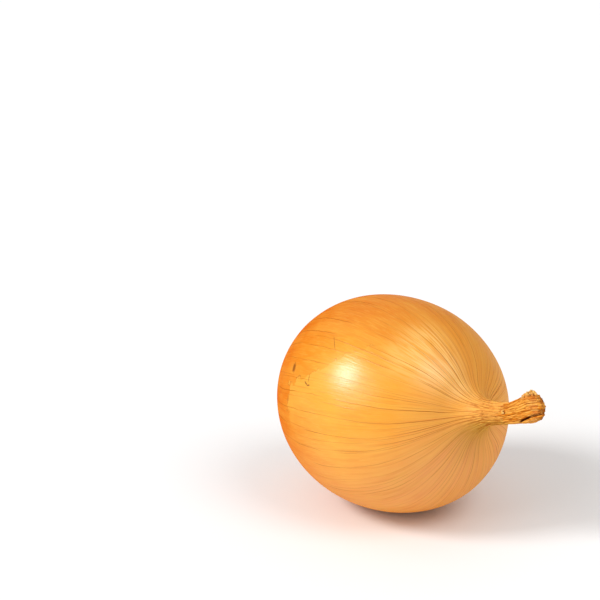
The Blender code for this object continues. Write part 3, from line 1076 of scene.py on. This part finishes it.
def neck_colours(look, place, colour, neck, strands):
    """The neck's colours: the skin's own where it covers the neck, and bare fibres beyond its end, with
    painted shade under the neck, in its grooves and in the cleft, and painted highlights on its ridges.
    """
    cosine, _, along = place[:3]
    groove = look.attribute("groove")
    # Green tan under the neck's base: partly the skin's own colour, partly painted shade.
    green_shade_under_neck = look.within((along, GREEN_SHADE_ALONG), (cosine, GREEN_SHADE_HEIGHT))
    colour = look.tint(colour, look.times(green_shade_under_neck, GREEN_SHADE_SHARE), GREEN_TAN)
    # Painted shade in the grooves and sunk strands, painted highlights on the ridges and raised strands,
    # mixed with the fibres' own streaks.
    dark = look.math("MAXIMUM", look.ease(groove, *GROOVE_SHADE), look.ease(strands, *STRAND_DARK))
    light = look.within((groove, RIDGE_HIGHLIGHT), (strands, STRAND_LIGHT))
    colour = look.tint(colour, look.times(dark, neck, SKIN_DARK), FIBRE_BROWN)
    colour = look.tint(colour, look.times(light, neck, SKIN_LIGHT), FIBRE_PALE)
    tone = look.ease(look.attribute("tone"), *FIBRE_TONE)
    fibre = look.tint(linear(FIBRE_ORANGE), tone, FIBRE_PALE)
    fibre = look.tint(fibre, look.times(light, FIBRE_LIGHT), FIBRE_PALE)
    fibre = look.tint(fibre, look.times(dark, FIBRE_DARK), FIBRE_BROWN)
    # Painted shade: the open cleft is painted dark brown.
    shade = look.ease(look.attribute("cleft"), *CLEFT_SHADE)
    return colour, look.tint(fibre, shade, CLEFT_SHADE_BROWN)


def skin_look():
    """Glossy dry skin with thin brown veins, which turns into the fibres of the dried neck."""
    look = Look("dry_skin")
    stored = look.node("ShaderNodeAttribute", {"attribute_name": "place"}).outputs["Vector"]
    cosine, sine, along = look.node("ShaderNodeSeparateXYZ", Vector=stored).outputs
    theta = look.math("ARCTAN2", sine, cosine)
    place = (cosine, sine, along, theta, look.attribute("girth"))
    bare = look.attribute("bare")

    medium = round_noise(look, place, *MEDIUM_STREAKS)
    colour, fine = bulb_colour(look, place, medium)
    veins = all_veins(look, place)
    cover, rim = light_patch(look, place)
    colour = look.tint(colour, look.times(cover, PATCH_COVER), PATCH_YELLOW)
    colour = look.tint(colour, look.times(rim, PATCH_LINE), VEIN_BROWN)
    colour = look.tint(colour, look.times(veins, look.math("SUBTRACT", 1.0, bare)), VEIN_BROWN)
    colour = look.tint(colour, mark_spots(look, place), MARK_BROWN)
    neck = look.ease(along, *NECK_ALONG)
    strands = round_noise(look, place, *NECK_STRANDS)
    colour, fibre = neck_colours(look, place, colour, neck, strands)

    shine = look.within((along, SHINE_NECKWARD), (along, SHINE_ROOTWARD), (veins, SHINE_ON_VEINS))
    plain, on_streaks, on_neck = SKIN_ROUGH
    look.surface(
        Base_Color=look.mix(bare, colour, fibre),
        Roughness=look.add(plain, look.times(medium, on_streaks), look.times(neck, on_neck)),
        Specular_IOR_Level=0.0, Coat_Weight=shine, Coat_Roughness=0.27, Coat_IOR=2.5,
        Subsurface_Weight=0.08, Subsurface_Radius=(1.0, 0.4, 0.12), Subsurface_Scale=0.003)
    look.bump(look.add(
        look.times(medium, SKIN_BUMP), look.times(fine, SKIN_BUMP), look.times(veins, SKIN_BUMP),
        look.times(strands, neck, STRAND_BUMP)))
    return look.material


# Dried leaf, papery scraps and roots: grain along and across the onion in cells a mm, and ranges
LEAF_GRAIN = (0.12, 2.6)
LEAF_TONE = (0.1, 0.9)
LEAF_STREAKS = (0.45, 0.7, 0.0, 0.7)
LEAF_TORN_GRAIN = 0.25
LEAF_TORN = (1.02, 1.20)
LEAF_TORN_SHARE = 0.8
LEAF_ROUGH = (0.3, 0.7, 0.5, 0.7)
LEAF_BUMP = 0.12
PAPER_GRAIN = (0.25, 1.8)
PAPER_SPECK_GRAIN = (1.4, 2.2)
PAPER_STREAKS = (0.4, 0.6, 0.0, 0.8)
PAPER_BASE = (0.0, 0.35, 0.8, 0.0)
PAPER_SPECKS = (0.55, 0.66, 0.0, 0.75)
PAPER_ROUGH = (0.3, 0.7, 0.40, 0.60)
PAPER_BUMP = 0.08
ROOTLET_GRAIN = 0.8
CRUST_GRAIN = 1.6
ROOT_SHADES = (0.5, 0.6, -0.15)
ROOT_LIGHT = (0.2, 0.75)
ROOT_ROUGH = (0.3, 0.7, 0.65, 0.85)
ROOT_BUMP = 0.25


def along_onion(look, lengthwise, across):
    """A place on a piece for noise that is stretched along the onion's axis, in millimetres."""
    return look.node(
        "ShaderNodeMapping", Vector=look.node("ShaderNodeTexCoord").outputs["Object"],
        Rotation=(0.0, AXIS_TILT, 0.0), Scale=(lengthwise / MM, across / MM, across / MM)).outputs[0]


def leaf_look():
    """Dull dried leaf with fibres along it, brown at its torn end."""
    look = Look("dried_leaf")
    streak = look.noise(along_onion(look, *LEAF_GRAIN), detail=3.0)
    colour = look.tint(linear(FIBRE_ORANGE), look.ease(look.attribute("tone"), *LEAF_TONE), FIBRE_PALE)
    colour = look.tint(colour, look.ease(streak, *LEAF_STREAKS), FIBRE_BROWN)
    torn = look.add(look.attribute("share"), look.times(streak, LEAF_TORN_GRAIN))
    torn = look.times(look.ease(torn, *LEAF_TORN), LEAF_TORN_SHARE)
    look.surface(
        Base_Color=look.tint(colour, torn, GROOVE_BROWN), Roughness=look.ease(streak, *LEAF_ROUGH),
        Specular_IOR_Level=0.35)
    look.bump(look.times(streak, LEAF_BUMP))
    return look.material


def paper_look():
    """Thin pale papery skin, with darker fibres and brown specks."""
    look = Look("papery_scrap")
    streak = look.noise(along_onion(look, *PAPER_GRAIN), detail=3.0)
    specks = look.noise(along_onion(look, *PAPER_SPECK_GRAIN), detail=3.0)
    colour = look.tint(linear(PAPER_YELLOW), look.ease(streak, *PAPER_STREAKS), FIBRE_ORANGE)
    colour = look.tint(colour, look.ease(look.attribute("share"), *PAPER_BASE), FIBRE_ORANGE)
    look.surface(
        Base_Color=look.tint(colour, look.ease(specks, *PAPER_SPECKS), FIBRE_BROWN),
        Roughness=look.ease(streak, *PAPER_ROUGH),
        Subsurface_Weight=0.25, Subsurface_Radius=(1.0, 0.6, 0.3), Subsurface_Scale=0.0008)
    look.bump(look.times(streak, PAPER_BUMP))
    return look.material


def root_look(name, light, dark, grain):
    """Dry dull root fibre, from light to dark by its tone and its grain."""
    look = Look(name)
    spots = look.noise(along_onion(look, grain, grain), detail=4.0, roughness=0.6)
    parts = zip((look.attribute("tone"), spots, look.attribute("share")), ROOT_SHADES)
    shade = look.add(*(look.times(part, weight) for part, weight in parts))
    look.surface(
        Base_Color=look.tint(linear(dark), look.ease(shade, *ROOT_LIGHT), light),
        Roughness=look.ease(spots, *ROOT_ROUGH))
    look.bump(look.times(spots, ROOT_BUMP))
    return look.material


def dress(piece, material):
    """Give a piece its material, and let it ride with the onion."""
    piece.data.materials.append(material)
    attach(piece, "root")


def make_camera(bulb):
    """The camera, set so that the bulb's middle falls on its pixel."""
    right = Vector((math.cos(VIEW_AZIMUTH), math.sin(VIEW_AZIMUTH), 0.0))
    level = Vector((math.sin(VIEW_AZIMUTH), -math.cos(VIEW_AZIMUTH), 0.0))
    back = level * math.cos(VIEW_ELEVATION) + Vector((0, 0, 1)) * math.sin(VIEW_ELEVATION)
    up = back.cross(right)
    middle = FRAME_PIXELS / 2
    aside = (middle - BULB_PIXEL[0]) * PIXEL_SIZE
    above = (BULB_PIXEL[1] - middle) * PIXEL_SIZE
    data = bpy.data.cameras.new("camera")
    data.sensor_width = SENSOR_WIDTH
    data.lens = SENSOR_WIDTH * VIEW_DISTANCE / (FRAME_PIXELS * PIXEL_SIZE)
    camera = add_object("camera", data)
    camera.location = bulb + right * aside + up * above + back * VIEW_DISTANCE
    camera.rotation_euler = back.to_track_quat("Z", "Y").to_euler()
    bpy.context.scene.camera = camera


# Far soft lights: direction to each from the onion, width as an angle, and strength
LIGHTS = {
    "key": ((-0.34, -0.69, 0.64), math.radians(19.0), 1.5),
    "soft": ((-0.19, -0.80, 0.57), math.radians(42.0), 0.9),
    "side": ((0.56, 0.15, 0.81), math.radians(34.0), 0.82),
}
WORLD_COLOUR = (1.0, 1.0, 1.0, 1.0)
WORLD_STRENGTH = 0.55
FLOOR_HALF = 30.0
FLOOR_DROP = 0.00002
FLOOR_COLOUR = (0.87, 0.87, 0.87, 1.0)


def make_light(name, direction, width, strength):
    """A soft round light, so far away that it lights the whole floor evenly."""
    data = bpy.data.lights.new(name, "SUN")
    data.angle = width
    data.energy = strength
    light = add_object(name, data)
    light.rotation_euler = Vector(direction).to_track_quat("Z", "Y").to_euler()


def make_stage():
    """A plain pale floor in plain white light."""
    mesh = bpy.data.meshes.new("floor")
    signs = ((-1, -1), (1, -1), (1, 1), (-1, 1))
    mesh.from_pydata([(x * FLOOR_HALF, y * FLOOR_HALF, -FLOOR_DROP) for x, y in signs], [], [(0, 1, 2, 3)])
    floor = add_object("floor", mesh)
    look = Look("floor")
    look.surface(Base_Color=FLOOR_COLOUR, Roughness=0.6, Specular_IOR_Level=0.2)
    mesh.materials.append(look.material)
    world = bpy.data.worlds.new("studio")
    world.use_nodes = True
    background = world.node_tree.nodes["Background"]
    background.inputs["Color"].default_value = WORLD_COLOUR
    background.inputs["Strength"].default_value = WORLD_STRENGTH
    bpy.context.scene.world = world


skin, shift = make_skin()
dress(skin, skin_look())
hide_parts("onion")
ends = leaf_ends(shift)
inner_leaves(ends, shift)
dress(ends.make("dried_leaf_ends"), leaf_look())
dress(scraps(shift).make("papery_scraps"), paper_look())
dry_root = root_look("dried_root", ROOTLET_TAN, ROOTLET_BROWN, ROOTLET_GRAIN)
dress(rootlets(shift).make("rootlets"), dry_root)
crust = root_look("root_crust", FIBRE_ORANGE, ROOTLET_BROWN, CRUST_GRAIN)
dress(root_crust(shift).make("root_plate"), crust)
make_camera(Vector(shift))
for name, values in LIGHTS.items():
    make_light(name, *values)
make_stage()
bpy.context.scene.view_settings.view_transform = "Standard"
